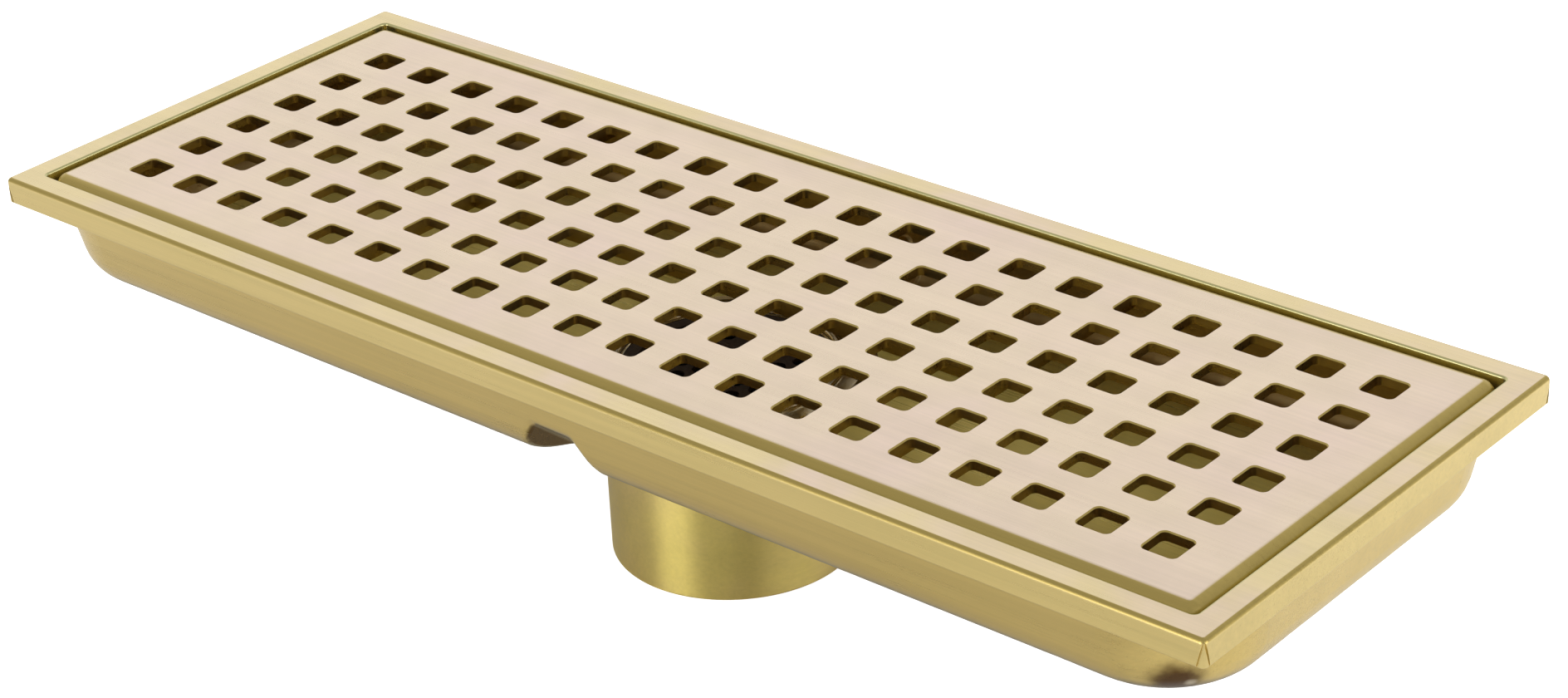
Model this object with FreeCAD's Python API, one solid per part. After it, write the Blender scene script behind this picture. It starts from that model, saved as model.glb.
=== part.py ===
"""Rectangular shower floor drain with a lift-out square-hole grate and a self-closing trap core.

Units are millimetres. The origin is the centre of the outlet's lower end, +Z is up, +X runs along
the drain's length and +Y across it. Every piece is one node, written as parts/NODE.step.
"""
import FreeCAD, Part
import math
import os

Vec = FreeCAD.Vector

# ---------------------------------------------------------------- driving dimensions
LENGTH = 300.0
WIDTH = 110.0
HEIGHT = 60.0

# rim frame: a folded channel with a flat top band
RIM_BAND = 5.8
RIM_SHEET = 1.0
RIM_LIP = 5.5
RIM_EDGE_RADIUS = 1.0
RIM_CORNER_RADIUS = 1.1
SEAM_WIDTH = 0.35
SEAM_DEPTH = 0.3
SEAM_TILT = 14.0

# ledge plate that carries the grate, and its silicone pads
LEDGE_DEPTH = 3.5
LEDGE_SHEET = 1.0
LEDGE_INSET = 10.2
LEDGE_CORNER_RADIUS = 8.0
PAD_LENGTH = 12.0
PAD_WIDTH = 1.8
PAD_THICKNESS = 0.5

# deep-drawn tray
TRAY_SHEET = 1.0
TRAY_INSET = 2.5
TRAY_DEPTH = 22.0
TRAY_DRAFT = math.radians(11.0)
TRAY_CORNER_RADIUS = 21.0
TRAY_BOTTOM_RADIUS = 9.0
FLANGE_DRAW_RADIUS = 1.2
SUMP_RADIUS = 30.0
SUMP_DEPTH = 1.5

# dent pressed into the tray's lower edge at the middle of each long side
DENT_OFFSET = 1.5
DENT_ROOF_WIDTH = 9.0
DENT_HEIGHT = 9.7
DENT_REACH = 13.5
DENT_FLANK_SLOPE = 1.1
DENT_ROOF_RADIUS = 2.0
DENT_RIM_RADIUS = 2.2

# outlet tube
SPIGOT_RADIUS = 25.0
SPIGOT_WALL = 1.5
SPIGOT_NECK_RADIUS = 24.6
SPIGOT_RELIEF = 1.0
COLLAR_WIDTH = 3.0
COLLAR_HEIGHT = 3.0

# grate
GRATE_GAP = 0.6
GRATE_PLATE = 2.0
GRATE_SKIRT_WALL = 1.6
GRATE_EDGE_RADIUS = 2.8
GRATE_CORNER_RADIUS = 3.0
HOLE_PITCH = 13.5
HOLE_COLUMNS = 20
HOLE_ROWS = 6
HOLE_SIDE = 6.9
HOLE_CORNER_RADIUS = 1.1
HOLE_EDGE_BREAK = 0.25
RIB_WIDTH = 3.0
RIB_DEPTH = 2.5
RIB_COLUMN = 5

# trap core
CORE_FLANGE_RADIUS = 28.0
CORE_BEAD_RADIUS = 22.7
CORE_BEAD_SECTION = 1.1
CORE_RADIUS = 22.6
CORE_BORE = 19.6
CORE_GASKET = 0.8
SEAT_BORE = 15.5
SEAT_HEIGHT = 15.0
O_RING_SECTION = 2.2
O_RING_CLEARANCE = 0.1
O_RING_HEIGHTS = {"upper_o_ring": 31.5, "lower_o_ring": 26.0}

# self-closing valve
STEM_RADIUS = 2.0
STEM_CLEARANCE = 0.05
DISC_RADIUS = 18.5
DISC_THICKNESS = 2.0
VALVE_GASKET = 1.2
MAGNET_RADIUS = 4.0
MAGNET_HEIGHT = 2.6

# ---------------------------------------------------------------- derived levels and half sizes
HALF_L = LENGTH / 2
HALF_W = WIDTH / 2
LEDGE_TOP = HEIGHT - LEDGE_DEPTH
FLANGE_TOP = LEDGE_TOP - LEDGE_SHEET
FLANGE_BOTTOM = FLANGE_TOP - TRAY_SHEET
TRAY_BOTTOM = HEIGHT - TRAY_DEPTH
TRAY_FLOOR = TRAY_BOTTOM + TRAY_SHEET
SUMP_BOTTOM = TRAY_BOTTOM - SUMP_DEPTH
SUMP_FLOOR = TRAY_FLOOR - SUMP_DEPTH
SPIGOT_BORE = SPIGOT_RADIUS - SPIGOT_WALL
PAD_TOP = LEDGE_TOP + PAD_THICKNESS
GRATE_UNDERSIDE = HEIGHT - GRATE_PLATE
GRATE_INSET = RIM_BAND + GRATE_GAP
CORE_FLANGE_UNDERSIDE = SUMP_FLOOR + CORE_GASKET
CORE_FLANGE_TOP = CORE_FLANGE_UNDERSIDE + 1.2
DISC_TOP = SEAT_HEIGHT - VALVE_GASKET
FIT = 0.05


# ---------------------------------------------------------------- shared shapes
def outline(inset, radius, z):
    """Closed wire of the drain's rectangle, drawn in by inset, with corner arcs."""
    x = HALF_L - inset
    y = HALF_W - inset
    edges = []
    for quarter, (sx, sy) in enumerate(((1, 1), (-1, 1), (-1, -1), (1, -1))):
        centre = Vec(sx * (x - radius), sy * (y - radius), z)
        start = math.radians(90 * quarter)
        arc = [centre + Vec(math.cos(start + a), math.sin(start + a), 0) * radius
               for a in (0, math.pi / 4, math.pi / 2)]
        edges.append(Part.Arc(*arc).toShape())
    corners = list(edges)
    for this, following in zip(corners, corners[1:] + corners[:1]):
        edges.append(Part.makeLine(this.Vertexes[-1].Point, following.Vertexes[0].Point))
    return Part.Wire(Part.__sortEdges__(edges))


def slab(inset, radius, low, high):
    """Flat plate with the drain's outline, between two levels."""
    return Part.Face(outline(inset, radius, low)).extrude(Vec(0, 0, high - low))


def frame_ring(outer_inset, outer_radius, inner_inset, inner_radius, low, high):
    """Rectangular ring between two levels."""
    hole = slab(inner_inset, inner_radius, low - 1, high + 1)
    return slab(outer_inset, outer_radius, low, high).cut(hole)


def turned(points):
    """Solid of revolution about Z from a closed list of (radius, height) points."""
    corners = [Vec(r, 0, z) for r, z in points]
    profile = Part.Face(Part.makePolygon(corners + corners[:1]))
    return profile.revolve(Vec(0, 0, 0), Vec(0, 0, 1), 360)


def tube(outer, inner, low, high):
    """Plain round ring between two levels."""
    return turned([(inner, low), (outer, low), (outer, high), (inner, high)])


def rod(radius, low, high):
    """Plain round bar between two levels."""
    return Part.makeCylinder(radius, high - low, Vec(0, 0, low))


def box(x0, y0, z0, x1, y1, z1):
    """Block between two corners."""
    return Part.makeBox(x1 - x0, y1 - y0, z1 - z0, Vec(x0, y0, z0))


def level_edges(shape, z):
    """Edges of a shape that lie wholly at one height."""
    return [e for e in shape.Edges
            if abs(e.BoundBox.ZMin - z) < 1e-4 and abs(e.BoundBox.ZMax - z) < 1e-4]


def edges_near_radius(shape, z, radius):
    """Round edges of a turned shape at one height and radius."""
    return [e for e in level_edges(shape, z)
            if isinstance(e.Curve, Part.Circle) and abs(e.Curve.Radius - radius) < 1e-3]


def outer_edges(shape, inset, z):
    """Edges at one height that belong to the outline drawn in by inset."""
    x = HALF_L - inset
    y = HALF_W - inset
    chosen = []
    for edge in level_edges(shape, z):
        b = edge.BoundBox
        reaches_x = max(abs(b.XMin), abs(b.XMax)) > x - 1e-3
        reaches_y = max(abs(b.YMin), abs(b.YMax)) > y - 1e-3
        inside = max(abs(b.XMin), abs(b.XMax)) < x + 1e-3 and max(abs(b.YMin), abs(b.YMax)) < y + 1e-3
        if inside and (reaches_x or reaches_y):
            chosen.append(edge)
    return chosen


# ---------------------------------------------------------------- fixed drain body
def corner_seams():
    """Tools for the two folded seams that part downward from each top corner of the rim."""
    low = HEIGHT - RIM_LIP - 1
    top = Vec(HALF_L, HALF_W, HEIGHT)
    on_long_side = box(HALF_L - SEAM_WIDTH, HALF_W - SEAM_DEPTH, low, HALF_L, HALF_W + 1, HEIGHT - 0.4)
    on_long_side.rotate(top, Vec(0, 1, 0), SEAM_TILT)
    on_short_side = box(HALF_L - SEAM_DEPTH, HALF_W - SEAM_WIDTH, low, HALF_L + 1, HALF_W, HEIGHT - 0.4)
    on_short_side.rotate(top, Vec(1, 0, 0), -SEAM_TILT)
    quarter = [on_long_side, on_short_side]
    half = quarter + [seam.mirror(Vec(0, 0, 0), Vec(1, 0, 0)) for seam in quarter]
    return half + [seam.mirror(Vec(0, 0, 0), Vec(0, 1, 0)) for seam in half]


def rim_frame():
    """Channel frame: flat top band, outer lip and shorter inner lip."""
    lip_bottom = HEIGHT - RIM_LIP
    body = frame_ring(0, RIM_CORNER_RADIUS, RIM_BAND, RIM_CORNER_RADIUS, lip_bottom, HEIGHT)
    channel = frame_ring(RIM_SHEET, RIM_EDGE_RADIUS, RIM_BAND - RIM_SHEET, RIM_CORNER_RADIUS,
                         lip_bottom - 1, HEIGHT - RIM_SHEET)
    under_inner_lip = frame_ring(RIM_SHEET, RIM_EDGE_RADIUS, RIM_BAND + 1, RIM_EDGE_RADIUS,
                                 lip_bottom - 1, LEDGE_TOP)
    body = body.cut(channel).cut(under_inner_lip)
    body = body.makeFillet(RIM_EDGE_RADIUS, outer_edges(body, 0, HEIGHT))
    body = body.makeFillet(RIM_SHEET / 3, outer_edges(body, 0, lip_bottom))
    body = body.makeFillet(RIM_SHEET / 2, outer_edges(body, RIM_BAND, HEIGHT))
    return body.cut(Part.makeCompound(corner_seams()))


def ledge_frame():
    """Flat ring plate inside the channel, with its inner edge under the grate's skirt."""
    return frame_ring(RIM_SHEET + FIT, RIM_EDGE_RADIUS, LEDGE_INSET, LEDGE_CORNER_RADIUS,
                      FLANGE_TOP, LEDGE_TOP)


def pan(inset, corner_radius, bottom_radius, top, bottom):
    """Tapered pan with a rounded lower edge, as one closed solid."""
    narrowing = (top - bottom) * math.tan(TRAY_DRAFT)
    upper = outline(inset, corner_radius, top)
    lower = outline(inset + narrowing, corner_radius - narrowing / 2, bottom)
    solid = Part.makeLoft([upper, lower], True, True)
    return solid.makeFillet(bottom_radius, level_edges(solid, bottom))


def dent_section(depth, grow):
    """Rectangle across the dent, this far outward from its sloping roof, on the -Y side."""
    slope = math.atan2(DENT_HEIGHT, DENT_REACH - DENT_HEIGHT * math.tan(TRAY_DRAFT))
    along = Vec(0, math.cos(slope), -math.sin(slope))
    outward = Vec(0, -math.sin(slope), -math.cos(slope))
    foot = Vec(DENT_OFFSET, TRAY_INSET - HALF_W + DENT_REACH, TRAY_BOTTOM)
    half = DENT_ROOF_WIDTH / 2 + DENT_FLANK_SLOPE * depth + grow * math.hypot(1, DENT_FLANK_SLOPE)
    middle = foot + outward * depth
    corners = [middle + along * far + Vec(half * way, 0, 0)
               for far, way in ((8, -1), (8, 1), (-24, 1), (-24, -1))]
    return Part.makePolygon(corners + corners[:1])


def dent(side, grow):
    """Wedge that presses the tray's lower edge in at mid-length, grown by the sheet on its inside."""
    wedge = Part.makeLoft([dent_section(-grow, grow), dent_section(8, grow)], True, True)
    roof = dent_section(-grow, grow).BoundBox
    ridges = [e for e in wedge.Edges if e.BoundBox.XLength < 1e-3 and e.BoundBox.YLength > 1
              and abs(e.BoundBox.ZMax - roof.ZMax) < 1e-3]
    wedge = wedge.makeFillet(DENT_ROOF_RADIUS + grow, ridges)
    return wedge if side < 0 else wedge.mirror(Vec(0, 0, 0), Vec(0, 1, 0))


def pressed(shape, side, grow, bend):
    """Pan solid with the dent of one side pressed in and the dent's rim rounded."""
    shape = shape.cut(dent(side, grow))
    near = DENT_OFFSET + DENT_ROOF_WIDTH + DENT_HEIGHT
    rim = [e for e in shape.Edges if e.BoundBox.XLength > 1e-3 and side * e.BoundBox.YMin > 0
           and max(abs(e.BoundBox.XMin), abs(e.BoundBox.XMax)) < near]
    return shape.makeFillet(bend, rim)


def tray():
    """Deep-drawn pan with an out-turned flange, a sump round the outlet and two pressed dents."""
    outer = pan(TRAY_INSET, TRAY_CORNER_RADIUS, TRAY_BOTTOM_RADIUS, FLANGE_BOTTOM, TRAY_BOTTOM)
    inner = pan(TRAY_INSET + TRAY_SHEET, TRAY_CORNER_RADIUS - TRAY_SHEET,
                TRAY_BOTTOM_RADIUS - TRAY_SHEET, FLANGE_TOP + 0.2, TRAY_FLOOR)
    for side in (1, -1):
        outer = pressed(outer, side, 0, DENT_RIM_RADIUS)
        inner = pressed(inner, side, TRAY_SHEET, DENT_RIM_RADIUS - TRAY_SHEET)
    sump_taper = SUMP_DEPTH * 0.8
    outer = outer.fuse(Part.makeCone(SUMP_RADIUS - sump_taper, SUMP_RADIUS + 1, SUMP_DEPTH + 0.5,
                                     Vec(0, 0, SUMP_BOTTOM)))
    inner = inner.fuse(Part.makeCone(SUMP_RADIUS - 1 - sump_taper, SUMP_RADIUS, SUMP_DEPTH + 0.2,
                                     Vec(0, 0, SUMP_FLOOR)))
    flange = slab(RIM_SHEET + FIT, RIM_EDGE_RADIUS, FLANGE_BOTTOM, FLANGE_TOP)
    shell = outer.fuse(flange)
    shell = shell.makeFillet(FLANGE_DRAW_RADIUS, outer_edges(shell, TRAY_INSET, FLANGE_BOTTOM))
    shell = shell.cut(inner)
    return shell.cut(rod(SPIGOT_NECK_RADIUS + FIT, SUMP_BOTTOM - 1, SUMP_FLOOR + 1))


def outlet_spigot():
    """Straight outlet tube with eased lower edges and a slimmer neck through collar and tray."""
    shoulder = SUMP_BOTTOM - COLLAR_HEIGHT - SPIGOT_RELIEF
    body = turned([(SPIGOT_BORE, 0), (SPIGOT_RADIUS, 0), (SPIGOT_RADIUS, shoulder),
                   (SPIGOT_NECK_RADIUS, shoulder), (SPIGOT_NECK_RADIUS, SUMP_FLOOR),
                   (SPIGOT_BORE, SUMP_FLOOR)])
    eased = edges_near_radius(body, 0, SPIGOT_RADIUS) + edges_near_radius(body, 0, SPIGOT_BORE)
    return body.makeFillet(0.5, eased)


def spigot_collar():
    """Collar brazed round the tube's neck, under the tray."""
    outer = SPIGOT_RADIUS + COLLAR_WIDTH
    body = tube(outer, SPIGOT_NECK_RADIUS + FIT, SUMP_BOTTOM - COLLAR_HEIGHT, SUMP_BOTTOM)
    return body.makeFillet(1.2, edges_near_radius(body, SUMP_BOTTOM - COLLAR_HEIGHT, outer))


def rest_pads():
    """Silicone pads on the ledge, under the grate's skirt."""
    x = HALF_L - GRATE_INSET - GRATE_SKIRT_WALL / 2
    y = HALF_W - GRATE_INSET - GRATE_SKIRT_WALL / 2
    spots = [(sx * at, sy * y, True) for sx in (1, -1) for at in (30, 115) for sy in (1, -1)]
    spots += [(sx * x, 0, False) for sx in (1, -1)]
    pads = []
    for px, py, along in spots:
        half_x, half_y = (PAD_LENGTH / 2, PAD_WIDTH / 2) if along else (PAD_WIDTH / 2, PAD_LENGTH / 2)
        pads.append(box(px - half_x, py - half_y, LEDGE_TOP, px + half_x, py + half_y, PAD_TOP))
    return Part.makeCompound(pads)


# ---------------------------------------------------------------- grate
def square_wire(x, y, side, radius, z):
    """Square with rounded corners, centred on x and y."""
    half = side / 2
    edges = []
    for quarter, (sx, sy) in enumerate(((1, 1), (-1, 1), (-1, -1), (1, -1))):
        centre = Vec(x + sx * (half - radius), y + sy * (half - radius), z)
        start = math.radians(90 * quarter)
        arc = [centre + Vec(math.cos(start + a), math.sin(start + a), 0) * radius
               for a in (0, math.pi / 4, math.pi / 2)]
        edges.append(Part.Arc(*arc).toShape())
    corners = list(edges)
    for this, following in zip(corners, corners[1:] + corners[:1]):
        edges.append(Part.makeLine(this.Vertexes[-1].Point, following.Vertexes[0].Point))
    return Part.Wire(Part.__sortEdges__(edges))


def grate_hole(x, y):
    """Tool for one square hole, flared a little at the top."""
    straight = Part.Face(square_wire(x, y, HOLE_SIDE, HOLE_CORNER_RADIUS, GRATE_UNDERSIDE - 1))
    shaft = straight.extrude(Vec(0, 0, GRATE_PLATE + 2))
    flare = Part.makeLoft([
        square_wire(x, y, HOLE_SIDE, HOLE_CORNER_RADIUS, HEIGHT - HOLE_EDGE_BREAK),
        square_wire(x, y, HOLE_SIDE + 4 * HOLE_EDGE_BREAK, HOLE_CORNER_RADIUS + 2 * HOLE_EDGE_BREAK,
                    HEIGHT + HOLE_EDGE_BREAK)], True, True)
    return shaft.fuse(flare)


def grate_plate():
    """Lift-out plate with a grid of square holes and a turned-down skirt."""
    body = slab(GRATE_INSET, GRATE_CORNER_RADIUS, PAD_TOP, HEIGHT)
    inner = GRATE_INSET + GRATE_SKIRT_WALL
    body = body.cut(slab(inner, GRATE_CORNER_RADIUS, PAD_TOP - 1, GRATE_UNDERSIDE))
    body = body.makeFillet(GRATE_SKIRT_WALL / 2, outer_edges(body, inner, GRATE_UNDERSIDE))
    body = body.makeFillet(GRATE_EDGE_RADIUS, outer_edges(body, GRATE_INSET, HEIGHT))
    tools = []
    for column in range(HOLE_COLUMNS):
        for row in range(HOLE_ROWS):
            x = (column - (HOLE_COLUMNS - 1) / 2) * HOLE_PITCH
            y = (row - (HOLE_ROWS - 1) / 2) * HOLE_PITCH
            tools.append(grate_hole(x, y))
    return body.cut(Part.makeCompound(tools))


def cross_rib(side):
    """Flat bar across the grate's underside, between two columns of holes."""
    x = side * RIB_COLUMN * HOLE_PITCH
    reach = HALF_W - LEDGE_INSET - 0.5
    return box(x - RIB_WIDTH / 2, -reach, GRATE_UNDERSIDE - RIB_DEPTH,
               x + RIB_WIDTH / 2, reach, GRATE_UNDERSIDE)


def centre_rib():
    """Flat bar along the grate's underside, between the two middle rows of holes."""
    reach = RIB_COLUMN * HOLE_PITCH - RIB_WIDTH / 2
    return box(-reach, -RIB_WIDTH / 2, GRATE_UNDERSIDE - RIB_DEPTH, reach, RIB_WIDTH / 2, GRATE_UNDERSIDE)


# ---------------------------------------------------------------- hair strainer
STRAINER_FLANGE_RADIUS = 21.1
STRAINER_SHEET = 0.8
STRAINER_BOWL_RADIUS = 19.3
STRAINER_SHELF = CORE_FLANGE_TOP - STRAINER_SHEET
STRAINER_FLOOR = STRAINER_SHELF - 1.8


def hair_strainer():
    """Shallow round dish with rings of drain holes, seated in the core's top ring."""
    top = CORE_FLANGE_TOP
    body = turned([(0, STRAINER_FLOOR), (STRAINER_BOWL_RADIUS - 1, STRAINER_FLOOR),
                   (STRAINER_BOWL_RADIUS, STRAINER_FLOOR + 1), (STRAINER_BOWL_RADIUS, STRAINER_SHELF),
                   (STRAINER_FLANGE_RADIUS, STRAINER_SHELF), (STRAINER_FLANGE_RADIUS, top),
                   (STRAINER_BOWL_RADIUS - STRAINER_SHEET, top),
                   (STRAINER_BOWL_RADIUS - STRAINER_SHEET, STRAINER_FLOOR + 1.4),
                   (STRAINER_BOWL_RADIUS - 1.4, STRAINER_FLOOR + STRAINER_SHEET),
                   (0, STRAINER_FLOOR + STRAINER_SHEET)])
    holes = []
    for ring, count in ((5.5, 6), (10.0, 12), (14.6, 18)):
        for k in range(count):
            angle = 2 * math.pi * (k + 0.5) / count
            centre = Vec(ring * math.cos(angle), ring * math.sin(angle), STRAINER_FLOOR - 1)
            holes.append(Part.makeCylinder(1.6, STRAINER_SHEET + 2, centre))
    return body.cut(Part.makeCompound(holes))


def strainer_handle():
    """Arched lifting loop that stands on the strainer's floor."""
    span = 8.0
    rise = 5.0
    thickness = 0.9
    foot = STRAINER_FLOOR + STRAINER_SHEET
    bend = 2.4
    points = [Vec(-span, 0, foot), Vec(-span, 0, foot + rise), Vec(span, 0, foot + rise),
              Vec(span, 0, foot)]
    left = Part.makeLine(points[0], points[1] - Vec(0, 0, bend))
    right = Part.makeLine(points[2] - Vec(0, 0, bend), points[3])
    across = Part.makeLine(points[1] + Vec(bend, 0, 0), points[2] - Vec(bend, 0, 0))
    slack = bend * (1 - math.sqrt(0.5))
    first = Part.Arc(points[1] - Vec(0, 0, bend), points[1] + Vec(slack, 0, -slack),
                     points[1] + Vec(bend, 0, 0)).toShape()
    second = Part.Arc(points[2] - Vec(bend, 0, 0), points[2] + Vec(-slack, 0, -slack),
                      points[2] - Vec(0, 0, bend)).toShape()
    path = Part.Wire([left, first, across, second, right])
    section = Part.Wire(Part.makeCircle(thickness, points[0], Vec(0, 0, 1)))
    return path.makePipeShell([section], True, True)


# ---------------------------------------------------------------- trap core
def core_top_ring():
    """Polished ring: flange on the sump, bead round the mouth and skirt inside the cup."""
    skirt = CORE_BORE + 1.2
    low = CORE_FLANGE_UNDERSIDE - 3.5
    body = turned([(CORE_BORE, low), (skirt, low), (skirt, CORE_FLANGE_UNDERSIDE),
                   (CORE_FLANGE_RADIUS, CORE_FLANGE_UNDERSIDE),
                   (CORE_FLANGE_RADIUS, CORE_FLANGE_TOP - 0.5),
                   (CORE_FLANGE_RADIUS - 0.8, CORE_FLANGE_TOP),
                   (STRAINER_FLANGE_RADIUS + 0.15, CORE_FLANGE_TOP),
                   (STRAINER_FLANGE_RADIUS + 0.15, STRAINER_SHELF), (CORE_BORE, STRAINER_SHELF)])
    bead = Part.makeTorus(CORE_BEAD_RADIUS, CORE_BEAD_SECTION, Vec(0, 0, CORE_FLANGE_TOP - FIT))
    return body.fuse(bead)


def core_gasket():
    """Flat seal between the ring's flange and the sump."""
    return tube(CORE_FLANGE_RADIUS - 0.4, SPIGOT_BORE + 0.1, SUMP_FLOOR, CORE_FLANGE_UNDERSIDE)


def core_cup():
    """Body of the trap core: grooves for two O-rings outside and the valve seat at its foot."""
    top = CORE_FLANGE_UNDERSIDE
    waist = SEAT_HEIGHT + 7
    body = turned([(SEAT_BORE, SEAT_HEIGHT), (SEAT_BORE + 3.6, SEAT_HEIGHT), (CORE_RADIUS, waist),
                   (CORE_RADIUS, top), (CORE_BORE + 1.2 + FIT, top), (CORE_BORE + 1.2 + FIT, top - 3.5),
                   (CORE_BORE, top - 3.5), (CORE_BORE, SEAT_HEIGHT + 4), (SEAT_BORE, SEAT_HEIGHT + 2)])
    for height in O_RING_HEIGHTS.values():
        half = O_RING_SECTION / 2 + 0.2
        bottom = SPIGOT_BORE - O_RING_CLEARANCE - O_RING_SECTION - FIT
        body = body.cut(tube(CORE_RADIUS + 1, bottom, height - half, height + half))
    return body


def o_ring(height):
    """Seal between the core and the outlet tube."""
    section = O_RING_SECTION / 2
    return Part.makeTorus(SPIGOT_BORE - O_RING_CLEARANCE - section, section, Vec(0, 0, height))


BRIDGE_LOW = SEAT_HEIGHT + 4.2
BRIDGE_HIGH = BRIDGE_LOW + 2.4
BOSS_TOP = BRIDGE_HIGH + 2.4


def core_bridge():
    """Snap-in spider: hoop against the cup, four spokes and a bored boss for the stem."""
    body = tube(CORE_BORE - FIT, CORE_BORE - 1.6, BRIDGE_LOW, BRIDGE_HIGH)
    for quarter in range(4):
        spoke = box(MAGNET_RADIUS, -1, BRIDGE_LOW, CORE_BORE - 1, 1, BRIDGE_HIGH)
        body = body.fuse(spoke.rotated(Vec(0, 0, 0), Vec(0, 0, 1), 90 * quarter + 45))
    body = body.fuse(rod(MAGNET_RADIUS + 1.2, BRIDGE_LOW, BOSS_TOP))
    body = body.cut(rod(STEM_RADIUS + STEM_CLEARANCE, BRIDGE_LOW - 1, BOSS_TOP + 1))
    return body.cut(rod(MAGNET_RADIUS + FIT, BOSS_TOP - MAGNET_HEIGHT, BOSS_TOP + 1))


def ring_magnet(low, clearance):
    """Ring magnet round the stem."""
    return tube(MAGNET_RADIUS, STEM_RADIUS + clearance, low, low + MAGNET_HEIGHT)


# ---------------------------------------------------------------- self-closing valve
STEM_TOP = STRAINER_FLOOR - 0.6
STEM_HEAD = 1.4
STEM_MAGNET_LOW = STEM_TOP - STEM_HEAD - MAGNET_HEIGHT
NUT_HEIGHT = 2.6
STEM_END = DISC_TOP - DISC_THICKNESS - NUT_HEIGHT - 0.8


def valve_stem():
    """Stem with a head over its magnet, a collar under the magnet and one over the disc."""
    wide = STEM_RADIUS + 1.3
    return turned([(0, STEM_END), (STEM_RADIUS - 0.4, STEM_END), (STEM_RADIUS, STEM_END + 0.4),
                   (STEM_RADIUS, DISC_TOP), (wide, DISC_TOP), (wide, DISC_TOP + 1),
                   (STEM_RADIUS, DISC_TOP + 1), (STEM_RADIUS, STEM_TOP - STEM_HEAD),
                   (wide, STEM_TOP - STEM_HEAD), (wide, STEM_TOP - 0.5), (wide - 0.5, STEM_TOP),
                   (0, STEM_TOP)])


def valve_disc():
    """Dished disc that closes the seat from below."""
    low = DISC_TOP - DISC_THICKNESS
    hub = STEM_RADIUS + 4
    bore = STEM_RADIUS + FIT
    return turned([(bore, low), (hub, low), (hub + 1, low + 0.6), (DISC_RADIUS - 1, low + 0.6),
                   (DISC_RADIUS, low + 1), (DISC_RADIUS, DISC_TOP), (bore, DISC_TOP)])


def valve_gasket():
    """Soft ring on the disc that meets the seat."""
    return tube(DISC_RADIUS - 0.6, SEAT_BORE - 1.5, DISC_TOP, SEAT_HEIGHT)


def stem_nut():
    """Hexagon nut that clamps the disc to the stem."""
    across_corners = 4.6
    low = DISC_TOP - DISC_THICKNESS - NUT_HEIGHT
    corners = [Vec(across_corners * math.cos(math.radians(60 * k)),
                   across_corners * math.sin(math.radians(60 * k)), low) for k in range(7)]
    body = Part.Face(Part.makePolygon(corners)).extrude(Vec(0, 0, NUT_HEIGHT))
    return body.cut(rod(STEM_RADIUS + FIT, low - 1, low + NUT_HEIGHT + 1))


# ---------------------------------------------------------------- every node
def nodes():
    """Name and shape of every piece."""
    pieces = {
        "rim_frame": rim_frame(),
        "ledge_frame": ledge_frame(),
        "tray": tray(),
        "outlet_spigot": outlet_spigot(),
        "spigot_collar": spigot_collar(),
        "rest_pads": rest_pads(),
        "grate_plate": grate_plate(),
        "left_cross_rib": cross_rib(-1),
        "right_cross_rib": cross_rib(1),
        "centre_rib": centre_rib(),
        "hair_strainer": hair_strainer(),
        "strainer_handle": strainer_handle(),
        "core_top_ring": core_top_ring(),
        "core_gasket": core_gasket(),
        "core_cup": core_cup(),
        "core_bridge": core_bridge(),
        "bridge_magnet": ring_magnet(BOSS_TOP - MAGNET_HEIGHT, 0.3),
        "valve_stem": valve_stem(),
        "stem_magnet": ring_magnet(STEM_MAGNET_LOW, FIT),
        "valve_disc": valve_disc(),
        "valve_gasket": valve_gasket(),
        "stem_nut": stem_nut(),
    }
    for name, height in O_RING_HEIGHTS.items():
        pieces[name] = o_ring(height)
    return pieces


os.makedirs("parts", exist_ok=True)
for node, shape in nodes().items():
    if not shape.isValid():
        raise ValueError(node + " is not a valid shape")
    shape.exportStep("parts/" + node + ".step")
    size = shape.BoundBox
    print("%-18s solids %2d  volume %9.1f  x %7.2f %7.2f  y %7.2f %7.2f  z %6.2f %6.2f" % (
        node, len(shape.Solids), shape.Volume, size.XMin, size.XMax, size.YMin, size.YMax,
        size.ZMin, size.ZMax))
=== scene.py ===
"""Looks for the rectangular floor drain: brushed gold metal, dark trap core, plain pale studio."""
import math

import bpy
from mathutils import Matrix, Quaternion, Vector


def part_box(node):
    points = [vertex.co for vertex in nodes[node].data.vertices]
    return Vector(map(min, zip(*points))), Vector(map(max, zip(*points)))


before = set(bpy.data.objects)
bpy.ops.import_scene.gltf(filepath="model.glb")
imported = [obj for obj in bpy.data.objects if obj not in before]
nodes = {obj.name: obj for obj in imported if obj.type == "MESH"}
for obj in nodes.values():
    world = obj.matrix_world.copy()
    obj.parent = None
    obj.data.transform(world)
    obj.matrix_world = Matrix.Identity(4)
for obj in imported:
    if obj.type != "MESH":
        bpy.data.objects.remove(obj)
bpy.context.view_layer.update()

scene = bpy.context.scene
MM = 0.001

# ---------------------------------------------------------------- camera
# The camera's place is measured from the middle of the rim's top face.
RIM_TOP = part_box("rim_frame")[1].z
CAMERA_FROM_TOP = Vector((419.75, -458.18, 310.71)) * MM
LOOK = Vector((-0.58504, 0.66247, -0.46782))
ROLL = math.radians(-2.698)
LENS = 82.30
SENSOR = 36.0
CLIP_START = 0.01
CLIP_END = 50


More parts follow.
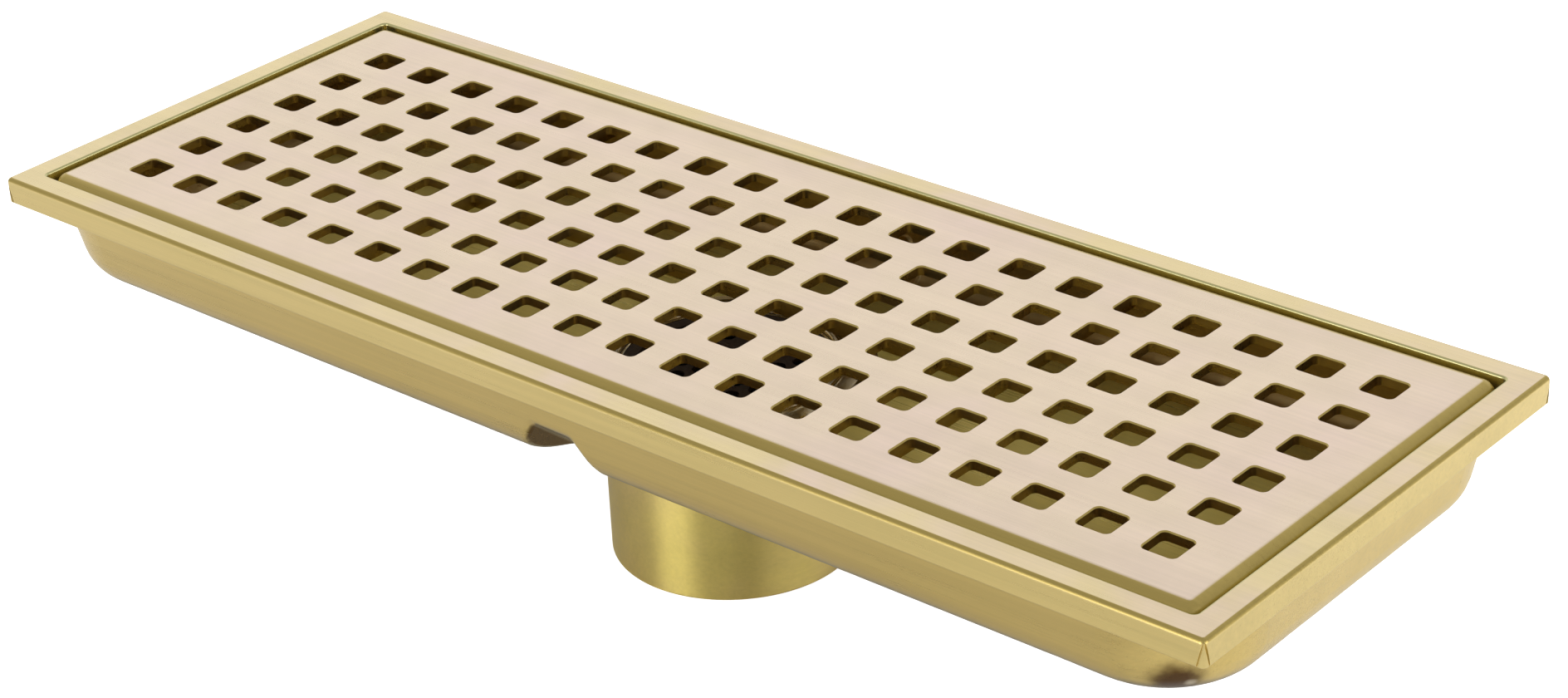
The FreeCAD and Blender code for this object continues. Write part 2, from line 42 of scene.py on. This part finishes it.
def add_camera():
    """Camera at the product view: front right, a little above, rolled slightly."""
    data = bpy.data.cameras.new("camera")
    data.lens = LENS
    data.sensor_width = SENSOR
    data.sensor_fit = "HORIZONTAL"
    data.clip_start = CLIP_START
    data.clip_end = CLIP_END
    camera = bpy.data.objects.new("camera", data)
    scene.collection.objects.link(camera)
    camera.location = CAMERA_FROM_TOP + Vector((0, 0, RIM_TOP))
    camera.rotation_mode = "QUATERNION"
    camera.rotation_quaternion = LOOK.to_track_quat("-Z", "Y") @ Quaternion((0, 0, 1), ROLL)
    scene.camera = camera


# ---------------------------------------------------------------- node helpers
# Sockets of a Mix node that mixes colours.
MIX_FACTOR, MIX_FIRST, MIX_SECOND, MIX_RESULT = 0, 6, 7, 2

# Metres from the upright axis to a wall, counted the way the wall faces, so that a wall facing
# inward is below zero: where it doesn't count as one yet, and where it fully does.
INWARD = (-0.004, -0.016)


class Tree:
    """A material's node tree, with short calls that make and link nodes."""

    def __init__(self, name):
        self.material = bpy.data.materials.new(name)
        self.material.use_nodes = True
        self.tree = self.material.node_tree
        self.shader = self.tree.nodes["Principled BSDF"]

    def node(self, kind, **values):
        """New node with these settings."""
        made = self.tree.nodes.new(kind)
        for key, value in values.items():
            setattr(made, key, value)
        return made

    def feed(self, socket, value):
        """Link another node's output to a socket, or set the socket's own value."""
        if isinstance(value, bpy.types.NodeSocket):
            self.tree.links.new(value, socket)
        else:
            socket.default_value = value

    def math(self, operation, a, b=0.0):
        """Sum, product or other operation on one or two values."""
        made = self.node("ShaderNodeMath", operation=operation)
        self.feed(made.inputs[0], a)
        self.feed(made.inputs[1], b)
        return made.outputs[0]

    def mix(self, factor, a, b, blend="MIX"):
        """Colour a where the factor is 0, and b, or its blend with a, where the factor is 1."""
        made = self.node("ShaderNodeMix", data_type="RGBA", blend_type=blend)
        self.feed(made.inputs[MIX_FACTOR], factor)
        self.feed(made.inputs[MIX_FIRST], a)
        self.feed(made.inputs[MIX_SECOND], b)
        return made.outputs[MIX_RESULT]

    def between(self, value, low, high, to_low=0.0, to_high=1.0, smooth=False):
        """Map low..high to to_low..to_high and hold it at the ends."""
        kind = "SMOOTHSTEP" if smooth else "LINEAR"
        made = self.node("ShaderNodeMapRange", interpolation_type=kind)
        for socket, number in zip(made.inputs, (value, low, high, to_low, to_high)):
            self.feed(socket, number)
        return made.outputs[0]

    def place(self):
        """Place on the object, in metres."""
        return self.node("ShaderNodeTexCoord").outputs["Object"]

    def noise(self, scale, detail=4.0, roughness=0.6, stretch=(1, 1, 1)):
        """Noise over the object. Scale times stretch is its features in a metre on each axis."""
        mapping = self.node("ShaderNodeMapping")
        self.feed(mapping.inputs["Vector"], self.place())
        mapping.inputs["Scale"].default_value = stretch
        made = self.node("ShaderNodeTexNoise")
        self.feed(made.inputs["Vector"], mapping.outputs[0])
        made.inputs["Scale"].default_value = scale
        made.inputs["Detail"].default_value = detail
        made.inputs["Roughness"].default_value = roughness
        return made.outputs["Fac"]

    def faces_inward(self):
        """1 where a wall's face looks towards the upright axis through the origin."""
        flat = self.node("ShaderNodeVectorMath", operation="MULTIPLY")
        self.feed(flat.inputs[0], self.place())
        flat.inputs[1].default_value = (1, 1, 0)
        inward = self.node("ShaderNodeVectorMath", operation="DOT_PRODUCT")
        self.feed(inward.inputs[0], flat.outputs[0])
        self.feed(inward.inputs[1], self.node("ShaderNodeNewGeometry").outputs["Normal"])
        return self.between(inward.outputs["Value"], *INWARD)

    def from_corner(self, point):
        """Distance to the nearest of four points mirrored about both upright planes."""
        folded = self.node("ShaderNodeVectorMath", operation="ABSOLUTE")
        self.feed(folded.inputs[0], self.place())
        gap = self.node("ShaderNodeVectorMath", operation="DISTANCE")
        self.feed(gap.inputs[0], folded.outputs[0])
        gap.inputs[1].default_value = point
        return gap.outputs["Value"]

    def split(self, vector):
        """The three parts of a vector."""
        made = self.node("ShaderNodeSeparateXYZ")
        self.feed(made.inputs[0], vector)
        return made.outputs

    def bump(self, height, strength, distance):
        """Normal of a surface that rises by this distance where the height is 1."""
        made = self.node("ShaderNodeBump")
        self.feed(made.inputs["Height"], height)
        made.inputs["Strength"].default_value = strength
        made.inputs["Distance"].default_value = distance
        return made.outputs[0]


def shaded(colour, factor):
    """Colour times a number."""
    return tuple(factor * part for part in colour[:3]) + (1,)


# ---------------------------------------------------------------- colours
RIM_SIDE = (0.77, 0.605, 0.265, 1)
# Painted sheen: the paler top tone of the rim's band, on faces that look up.
RIM_BAND_SHEEN = (0.85, 0.70, 0.39, 1)
# Painted shade on the rim's faces inside the recess.
RIM_RECESS_SHADE = (0.60, 0.55, 0.27, 1)
# Painted dark reflection on rolled edges.
EDGE_DARK_REFLECTION = (0.50, 0.375, 0.115, 1)
ROSE_GOLD = (0.87, 0.69, 0.59, 1)
OLIVE_TINT = (0.80, 0.80, 0.62, 1)
# Painted sheen: the grate's paler top tone, on faces that look up.
GRATE_TOP_SHEEN = (0.85, 0.70, 0.53, 1)
GRATE_UNDER = (0.62, 0.48, 0.22, 1)
# Painted shade on the grate's upright faces: hole walls and skirts.
GRATE_WALL_SHADE = (0.42, 0.30, 0.11, 1)
TRAY_SIDE = (0.76, 0.575, 0.225, 1)
# Painted shade on the tray's inner walls.
TRAY_INNER_SHADE = (0.50, 0.36, 0.16, 1)
TRAY_BED = (0.98, 0.80, 0.22, 1)
# Painted shade on the tray's faces that look down.
TRAY_UNDER = (0.24, 0.18, 0.06, 1)
# Painted dark reflection on the flanks of the dents.
DENT_DARK_REFLECTION = (0.13, 0.07, 0.01, 1)
# Painted dark reflection and painted glint at the tray's lower corners.
CORNER_DARK_REFLECTION = (0.10, 0.05, 0.015, 1)
CORNER_GLINT = (1.0, 0.88, 0.66, 1)
SPIGOT_GOLD = (0.76, 0.59, 0.235, 1)
SPIGOT_OLIVE = (0.72, 0.585, 0.18, 1)

# ---------------------------------------------------------------- masks
# Each mask gives the value where it is 0 and the value where it is 1. These read how far a face
# looks up: 1 is straight up, 0 is upright and -1 is straight down. GRATE_WALL has no sign.
# Faces that look up take the painted sheen of the top tone.
TOP_FACE = (0.972, 0.999)
# Rolled edges, which take the painted dark reflection.
EDGE_OUTER = (0.25, 0.5)
EDGE_INNER = (0.999, 0.98)
BED_FACE = (0.8, 0.95)
# Upright faces of the grate, which take painted shade.
GRATE_WALL = (0.25, 0.05)
GRATE_UNDERSIDE = (-0.2, -0.6)
# Faces of the tray that look down, which take painted shade.
TRAY_UNDERSIDE = (-0.50, -0.78)

# The flanks of the dents in the tray's long sides, which take a painted dark reflection: how far a
# face looks along the drain, and metres from the middle along it and across it.
FLANK_TURN = (0.25, 0.55)
FLANK_ALONG = (0.020, 0.017)
FLANK_ACROSS = (0.036, 0.040)

# The painted dark reflection with a painted glint at each lower corner of the tray: places, and
# distances from them, in metres.
MARK_PLACE = (0.1372, 0.0442, 0.0432)
MARK_REACH = (0.0066, 0.0022)
MARK_RAGGED = 0.0005
GLINT_PLACE = (0.1385, 0.0424, 0.0428)
GLINT_REACH = (0.0021, 0.0008)

# Ranges of a noise's value: nearly all of it, and the part of it that shows as patches.
NOISE_SPREAD = (0.3, 0.7)
CLOUD_PATCHES = (0.40, 0.66)
WIDE_PATCHES = (0.38, 0.68)
SMALL_PATCHES = (0.35, 0.65)

# ---------------------------------------------------------------- brushed gold
# Features in a metre along the brushing and across it.
HAIRLINES = (9.0, 1100.0)
BANDS = (5.0, 150.0)

# What the noises do at their low and high ends: added to the roughness, and times the colour.
HAIR_ROUGHNESS = (-0.04, 0.05)
CLOUD_ROUGHNESS = (-0.03, 0.03)
HAIR_TONE = (0.93, 1.05)
BAND_TONE = (0.96, 1.03)
HAIR_BUMP = 0.25
QUARTER_TURN = 0.25

# How much of the other tone a patch takes on.
ROSE_SHARE = 0.75
DULL_SHARE = 0.30
OLIVE_SHARE = 0.45

DULL_FACTOR = 0.88
BED_METALLIC = 0.35


def brushing(along, density):
    """Features in a metre on each axis, for brushing along one of them."""
    return tuple(density[0] if axis == along else density[1] for axis in range(3))


class Brushed(Tree):
    """Brushed gold with hairlines along one axis and slow changes in its gloss."""

    def __init__(self, name, along, roughness=0.30, depth=0.00002, shine=0.0):
        super().__init__(name)
        hairlines = brushing(along, HAIRLINES)
        bands = brushing(along, BANDS)
        self.hairs = self.noise(1.0, detail=6.0, roughness=0.7, stretch=hairlines)
        self.bands = self.noise(1.0, detail=3.0, roughness=0.5, stretch=bands)
        self.clouds = self.noise(26.0, detail=3.0, roughness=0.55)
        self.normal = self.split(self.node("ShaderNodeNewGeometry").outputs["Normal"])
        self.shader.inputs["Anisotropic"].default_value = shine
        self.shader.inputs["Anisotropic Rotation"].default_value = QUARTER_TURN
        hair_ends = tuple(roughness + change for change in HAIR_ROUGHNESS)
        rough = self.math("ADD", self.between(self.hairs, *NOISE_SPREAD, *hair_ends),
                          self.between(self.clouds, *NOISE_SPREAD, *CLOUD_ROUGHNESS))
        self.feed(self.shader.inputs["Roughness"], rough)
        self.feed(self.shader.inputs["Normal"], self.bump(self.hairs, HAIR_BUMP, depth))

    def weathered(self, side):
        """Side tone with wide patches that lean to olive."""
        patches = self.noise(9.0, detail=2.0, roughness=0.5)
        wide = self.between(patches, *WIDE_PATCHES, 0.0, OLIVE_SHARE)
        return self.mix(wide, side, tuple(a * b for a, b in zip(side, OLIVE_TINT)))

    def skin(self, top, side):
        """Top tone, a painted sheen on faces that look up, with rose and dull patches; side tone;
        and a painted dark reflection on rolled edges.
        """
        rosy = self.between(self.clouds, *CLOUD_PATCHES, 0.0, ROSE_SHARE)
        patches = self.noise(130.0, detail=2.0, roughness=0.5)
        dull = self.between(patches, *SMALL_PATCHES, 0.0, DULL_SHARE)
        upper = self.mix(dull, self.mix(rosy, top, ROSE_GOLD), shaded(top, DULL_FACTOR))
        # Painted sheen: faces that look up take the paler top tone.
        facing_up = self.between(self.normal[2], *TOP_FACE, smooth=True)
        colour = self.mix(facing_up, self.weathered(side), upper)
        # Painted dark reflection on the rolled edges.
        rolled = self.math("MULTIPLY", self.between(self.normal[2], *EDGE_OUTER, smooth=True),
                           self.between(self.normal[2], *EDGE_INNER, smooth=True))
        return self.mix(rolled, colour, EDGE_DARK_REFLECTION)

    def scaled(self, colour, factor):
        """Colour times a grey factor."""
        grey = self.node("ShaderNodeCombineXYZ")
        for socket in grey.inputs:
            self.feed(socket, factor)
        return self.mix(1.0, colour, grey.outputs[0], "MULTIPLY")

    def finish(self, colour, metallic=1.0):
        """Brush the colour and hand it to the shader."""
        streaks = self.between(self.hairs, *NOISE_SPREAD, *HAIR_TONE)
        patches = self.between(self.bands, *NOISE_SPREAD, *BAND_TONE)
        tint = self.math("MULTIPLY", streaks, patches)
        self.feed(self.shader.inputs["Base Color"], self.scaled(colour, tint))
        self.feed(self.shader.inputs["Metallic"], metallic)
        return self.material


def rim_metal():
    """Rim and ledge: yellow-gold top band that is a painted sheen, and painted shade on the faces
    inside the recess.
    """
    t = Brushed("rim_gold", 0)
    # Painted shade on the faces inside the recess.
    return t.finish(t.mix(t.faces_inward(), t.skin(RIM_BAND_SHEEN, RIM_SIDE), RIM_RECESS_SHADE))


def grate_metal():
    """Grate: pale top that is a painted sheen, painted shade on its upright walls, and a darker
    underside.
    """
    t = Brushed("grate_gold", 0)
    colour = t.skin(GRATE_TOP_SHEEN, RIM_SIDE)
    # Painted shade on the hole walls and skirts.
    wall = t.between(t.math("ABSOLUTE", t.normal[2]), *GRATE_WALL)
    colour = t.mix(wall, colour, GRATE_WALL_SHADE)
    under = t.between(t.normal[2], *GRATE_UNDERSIDE)
    return t.finish(t.mix(under, colour, GRATE_UNDER))


def dent_flanks(t):
    """1 on the steep flanks of the dents in the tray's long sides, where a dark reflection is
    painted.
    """
    place = t.split(t.place())
    turned = t.between(t.math("ABSOLUTE", t.normal[0]), *FLANK_TURN, smooth=True)
    along = t.between(t.math("ABSOLUTE", place[0]), *FLANK_ALONG)
    across = t.between(t.math("ABSOLUTE", place[1]), *FLANK_ACROSS)
    return t.math("MULTIPLY", t.math("MULTIPLY", turned, along), across)


def tray_metal():
    """Tray: olive gold outside, painted dark reflections on the dent flanks, painted shade on faces
    that look down, a painted dark reflection with a painted glint at each lower corner, a satin
    bed, and painted shade on the inner walls.
    """
    t = Brushed("tray_gold", 0)
    # Painted dark reflection on the dent flanks.
    colour = t.mix(dent_flanks(t), t.weathered(TRAY_SIDE), DENT_DARK_REFLECTION)
    # Painted shade on faces that look down.
    under = t.between(t.normal[2], *TRAY_UNDERSIDE, smooth=True)
    colour = t.mix(under, colour, TRAY_UNDER)
    # Painted dark reflection with a painted glint at each lower corner.
    ragged = t.between(t.noise(300.0, detail=2.0), *NOISE_SPREAD, -MARK_RAGGED, MARK_RAGGED)
    gap = t.math("ADD", t.from_corner(MARK_PLACE), ragged)
    colour = t.mix(t.between(gap, *MARK_REACH, smooth=True), colour, CORNER_DARK_REFLECTION)
    glint = t.between(t.from_corner(GLINT_PLACE), *GLINT_REACH, smooth=True)
    colour = t.mix(glint, colour, CORNER_GLINT)
    # Painted shade on the inner walls.
    colour = t.mix(t.faces_inward(), colour, TRAY_INNER_SHADE)
    bed = t.between(t.normal[2], *BED_FACE, smooth=True)
    colour = t.mix(bed, colour, TRAY_BED)
    return t.finish(colour, t.between(bed, 0.0, 1.0, 1.0, BED_METALLIC))


def spigot_metal():
    """Outlet tube: turned finish that stretches highlights upright."""
    t = Brushed("spigot_gold", 1, roughness=0.38, depth=0.000003, shine=0.9)
    return t.finish(t.mix(t.between(t.clouds, *CLOUD_PATCHES), SPIGOT_GOLD, SPIGOT_OLIVE))


# ---------------------------------------------------------------- small parts
# Worn patches on plain metal: how much of the darker tone they take, how dark that tone is, and
# what the wear's low and high ends do to the roughness. Then the rings of turned metal.
WEAR_PATCHES = (0.35, 0.7)
WEAR_SHARE = 0.35
WEAR_FACTOR = 0.8
WEAR_ROUGHNESS = (0.8, 1.5)
TURNED_RINGS = (60, 60, 2600)
TURNED_DEPTH = 0.00002

# Bloom and grain on plastic and rubber.
BLOOM_PATCHES = (0.35, 0.75)
BLOOM_SHARE = 0.5
GRAIN_ROUGHNESS = 0.08
GRAIN_BUMP = 0.3
GRAIN_DEPTH = 0.00004


def plain_metal(name, colour, roughness, turned=0.0):
    """Plated or turned metal with light wear in its tone and gloss."""
    t = Tree(name)
    wear = t.noise(260.0, detail=5.0)
    rings = t.noise(1.0, detail=3.0, stretch=TURNED_RINGS)
    worn = t.between(wear, *WEAR_PATCHES, 0.0, WEAR_SHARE)
    ends = tuple(roughness * factor for factor in WEAR_ROUGHNESS)
    t.feed(t.shader.inputs["Base Color"], t.mix(worn, colour, shaded(colour, WEAR_FACTOR)))
    t.shader.inputs["Metallic"].default_value = 1.0
    t.feed(t.shader.inputs["Roughness"], t.between(wear, *NOISE_SPREAD, *ends))
    t.feed(t.shader.inputs["Normal"], t.bump(rings, turned, TURNED_DEPTH))
    return t.material


def moulded(name, colour, roughness, grain, worn, gloss=0.5):
    """Moulded plastic or rubber: fine grain, cloudy tone and a little bloom."""
    t = Tree(name)
    fine = t.noise(grain, detail=3.0, roughness=0.5)
    bloom = t.between(t.noise(60.0), *BLOOM_PATCHES, 0.0, BLOOM_SHARE)
    rough = t.between(fine, *NOISE_SPREAD, roughness - GRAIN_ROUGHNESS, roughness + GRAIN_ROUGHNESS)
    t.feed(t.shader.inputs["Base Color"], t.mix(bloom, colour, worn))
    t.feed(t.shader.inputs["Roughness"], rough)
    t.shader.inputs["Specular IOR Level"].default_value = gloss
    t.feed(t.shader.inputs["Normal"], t.bump(fine, GRAIN_BUMP, GRAIN_DEPTH))
    return t.material


def ring_polish():
    """Polished ring of the trap core."""
    return plain_metal("ring_polish", (0.88, 0.80, 0.62, 1), roughness=0.14)


def stem_steel():
    """Turned steel of the valve's stem and nut."""
    return plain_metal("stem_steel", (0.62, 0.62, 0.63, 1), roughness=0.28, turned=0.4)


def magnet_nickel():
    """Nickel plating of the magnets."""
    return plain_metal("magnet_nickel", (0.66, 0.65, 0.62, 1), roughness=0.22)


def silicone():
    """Grey silicone of the pads and flat gaskets."""
    return moulded("silicone", (0.55, 0.53, 0.49, 1), roughness=0.55, grain=900,
                   worn=(0.62, 0.59, 0.54, 1))


def strainer_plastic():
    """Dark brown plastic of the strainer and its handle."""
    return moulded("strainer_plastic", (0.045, 0.028, 0.018, 1), roughness=0.5, grain=1400,
                   worn=(0.07, 0.045, 0.028, 1), gloss=0.2)


def core_plastic():
    """Charcoal plastic of the trap core and its valve disc."""
    return moulded("core_plastic", (0.09, 0.085, 0.08, 1), roughness=0.4, grain=1400,
                   worn=(0.12, 0.115, 0.105, 1))


def o_ring_rubber():
    """Black rubber of the O-rings."""
    return moulded("o_ring_rubber", (0.018, 0.018, 0.018, 1), roughness=0.5, grain=1800,
                   worn=(0.03, 0.03, 0.03, 1))


def paint(material, *names):
    """Give CAD nodes a material."""
    for name in names:
        slots = nodes[name].data.materials
        slots.clear()
        slots.append(material)


def dress():
    """Every CAD node's material."""
    paint(rim_metal(), "rim_frame", "ledge_frame")
    paint(grate_metal(), "grate_plate", "left_cross_rib", "right_cross_rib", "centre_rib")
    paint(tray_metal(), "tray")
    paint(spigot_metal(), "outlet_spigot", "spigot_collar")
    paint(ring_polish(), "core_top_ring")
    paint(stem_steel(), "valve_stem", "stem_nut")
    paint(magnet_nickel(), "bridge_magnet", "stem_magnet")
    paint(silicone(), "rest_pads", "core_gasket", "valve_gasket")
    paint(strainer_plastic(), "hair_strainer", "strainer_handle")
    paint(core_plastic(), "core_cup", "core_bridge", "valve_disc")
    paint(o_ring_rubber(), "upper_o_ring", "lower_o_ring")


# ---------------------------------------------------------------- studio
# The floor gives off a little light of its own, and looks white to the camera.
FLOOR_HALF = 6.0
FLOOR_GREY = (0.66, 0.66, 0.66, 1)
FLOOR_ROUGHNESS = 0.9
FLOOR_GLOW = 0.09
FLOOR_LIFT = 0.86


def add_floor():
    """Plain pale floor under the outlet."""
    half = FLOOR_HALF
    mesh = bpy.data.meshes.new("floor")
    corners = [(-half, -half, 0), (half, -half, 0), (half, half, 0), (-half, half, 0)]
    mesh.from_pydata(corners, [], [(0, 1, 2, 3)])
    floor = bpy.data.objects.new("floor", mesh)
    scene.collection.objects.link(floor)
    t = Tree("floor")
    t.shader.inputs["Base Color"].default_value = FLOOR_GREY
    t.shader.inputs["Roughness"].default_value = FLOOR_ROUGHNESS
    t.shader.inputs["Specular IOR Level"].default_value = 0.0
    t.shader.inputs["Emission Color"].default_value = (1.0, 1.0, 1.0, 1)
    seen = t.node("ShaderNodeLightPath").outputs["Is Camera Ray"]
    glow = t.between(seen, 0.0, 1.0, FLOOR_GLOW, FLOOR_LIFT)
    t.feed(t.shader.inputs["Emission Strength"], glow)
    mesh.materials.append(t.material)


def area_light(name, place, aim, width, height, power):
    """Soft rectangular light that leaves no mirror image of itself in the metal."""
    data = bpy.data.lights.new(name, "AREA")
    data.shape = "RECTANGLE"
    data.size = width
    data.size_y = height
    data.energy = power
    light = bpy.data.objects.new(name, data)
    scene.collection.objects.link(light)
    light.location = place
    light.rotation_mode = "QUATERNION"
    light.rotation_quaternion = (Vector(aim) - Vector(place)).to_track_quat("-Z", "Y")
    light.visible_glossy = False


class Sky:
    """The world's node tree, as a brightness built from height and bearing.

    A height is the sine of the angle above the horizon. Bearings are in degrees from +X,
    counted towards +Y.
    """

    def __init__(self, name):
        self.world = bpy.data.worlds.new(name)
        self.world.use_nodes = True
        self.tree = self.world.node_tree
        direction = self.tree.nodes.new("ShaderNodeTexCoord").outputs["Generated"]
        split = self.tree.nodes.new("ShaderNodeSeparateXYZ")
        self.tree.links.new(direction, split.inputs[0])
        self.height = split.outputs[2]
        level = self.vector("MULTIPLY", direction, (1, 1, 0)).outputs[0]
        self.compass = self.vector("NORMALIZE", level).outputs[0]

    def vector(self, operation, first, second=None):
        """Vector operation on a link, with a fixed second vector if it takes one."""
        made = self.tree.nodes.new("ShaderNodeVectorMath")
        made.operation = operation
        self.tree.links.new(first, made.inputs[0])
        if second is not None:
            made.inputs[1].default_value = second
        return made

    def ramp(self, value, low, high, to_low, to_high):
        """Map low..high smoothly to to_low..to_high and hold it at the ends."""
        made = self.tree.nodes.new("ShaderNodeMapRange")
        made.interpolation_type = "SMOOTHSTEP"
        self.tree.links.new(value, made.inputs[0])
        for socket, number in zip(made.inputs[1:], (low, high, to_low, to_high)):
            socket.default_value = number
        return made.outputs[0]

    def join(self, operation, first, second):
        """Sum, product or other operation on two values, of which either may be a number."""
        made = self.tree.nodes.new("ShaderNodeMath")
        made.operation = operation
        for socket, value in zip(made.inputs, (first, second)):
            if isinstance(value, float):
                socket.default_value = value
            else:
                self.tree.links.new(value, socket)
        return made.outputs[0]

    def patch(self, bearing, wide, narrow, low, high, strength):
        """Soft patch of the sky: full within narrow degrees of its bearing and below the low
        height, and nothing beyond wide degrees or above the high height."""
        angle = math.radians(bearing)
        centre = (math.cos(angle), math.sin(angle), 0)
        towards = self.vector("DOT_PRODUCT", self.compass, centre).outputs["Value"]
        ends = (math.cos(math.radians(wide)), math.cos(math.radians(narrow)))
        return self.join("MULTIPLY", self.ramp(self.height, low, high, 1.0, 0.0),
                         self.ramp(towards, *ends, 0.0, strength))

    def finish(self, strength):
        """Make it the scene's world, in plain white light of this strength."""
        background = self.tree.nodes["Background"]
        background.inputs["Color"].default_value = (1, 1, 1, 1)
        self.tree.links.new(strength, background.inputs["Strength"])
        scene.world = self.world


def add_studio():
    """Studio light: a dim dome with a lit wall at the back left, a bright strip at the front,
    a glow on the right and a dark low side at the front right, and two soft lights."""
    sky = Sky("studio")
    wall = sky.patch(bearing=126, wide=72, narrow=18, low=0.60, high=0.74, strength=0.36)
    strip = sky.patch(bearing=257, wide=22, narrow=6, low=0.35, high=0.60, strength=3.6)
    glow = sky.patch(bearing=6, wide=38, narrow=20, low=0.30, high=0.60, strength=2.1)
    dark = sky.patch(bearing=330, wide=28, narrow=14, low=0.16, high=0.32, strength=1.0)
    dome = sky.ramp(sky.height, low=0.05, high=0.45, to_low=0.68, to_high=0.59)
    around = sky.join("MULTIPLY", dome, sky.join("SUBTRACT", 1.0, dark))
    patches = sky.join("ADD", sky.join("ADD", wall, strip), glow)
    sky.finish(sky.join("ADD", patches, around))
    area_light("main", place=(0.25, 0.44, 0.50), aim=(0.10, 0, 0),
               width=0.4, height=0.4, power=3.2)
    area_light("front_fill", place=(-0.5, -0.9, 0.6), aim=(0, 0, 0.04),
               width=0.9, height=0.6, power=3)


def set_tone():
    """Plain tone curve, so that colours come out as they are set."""
    scene.view_settings.view_transform = "Standard"
    scene.view_settings.look = "None"


set_tone()
add_camera()
add_floor()
add_studio()
dress()
